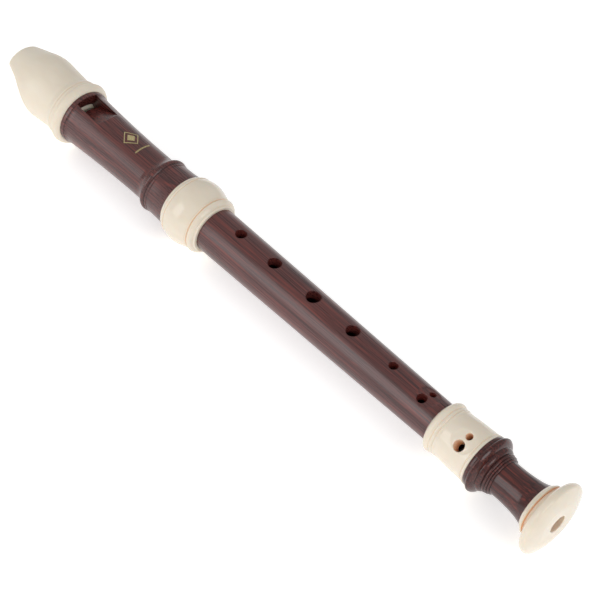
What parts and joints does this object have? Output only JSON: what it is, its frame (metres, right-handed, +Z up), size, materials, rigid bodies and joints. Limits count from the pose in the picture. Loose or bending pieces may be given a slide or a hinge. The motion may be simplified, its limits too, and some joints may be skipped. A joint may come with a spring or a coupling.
{
  "type": "soprano recorder",
  "caption": "Baroque-style soprano recorder in three joints, dark wood-look tubes with ivory-coloured beak and rings; head and foot pull off and turn on their tenons.",
  "frame": {"origin": "on the surface it lies on, below the middle of its length and its axis", "axes": "+X along the bore from the beak to the foot, +Z up out of the window and finger holes, +Y to the player's left"},
  "size_m": [0.3274, 0.0332, 0.0332],
  "materials": {
    "ivory_plastic": "satin to glossy moulded ivory-coloured ABS",
    "rosewood_plastic": "satin moulded ABS with a fine dark red-brown wood grain along the tube"
  },
  "bodies": {
    "middle": {"middle_joint": "rosewood_plastic"},
    "head_sleeve": {"socket_bulge": "ivory_plastic"},
    "head": {"head_barrel": "rosewood_plastic", "beak_cap": "ivory_plastic", "windway_block": "ivory_plastic"},
    "foot_sleeve": {"foot_end_ring": "ivory_plastic"},
    "foot": {"foot_bell": "rosewood_plastic", "foot_socket_ring": "ivory_plastic"}
  },
  "joints": [
    {"name": "head_pull", "type": "slide", "parent": "middle", "child": "head_sleeve", "axis": [-1, 0, 0], "range_m": [0, 0.03]},
    {"name": "head_turn", "type": "hinge", "parent": "head_sleeve", "child": "head", "pos_m": [-0.05, 0, 0.0166], "axis": [1, 0, 0], "continuous": true},
    {"name": "foot_pull", "type": "slide", "parent": "middle", "child": "foot_sleeve", "axis": [1, 0, 0], "range_m": [0, 0.02]},
    {"name": "foot_turn", "type": "hinge", "parent": "foot_sleeve", "child": "foot", "pos_m": [0.14, 0, 0.0166], "axis": [1, 0, 0], "continuous": true}
  ]
}
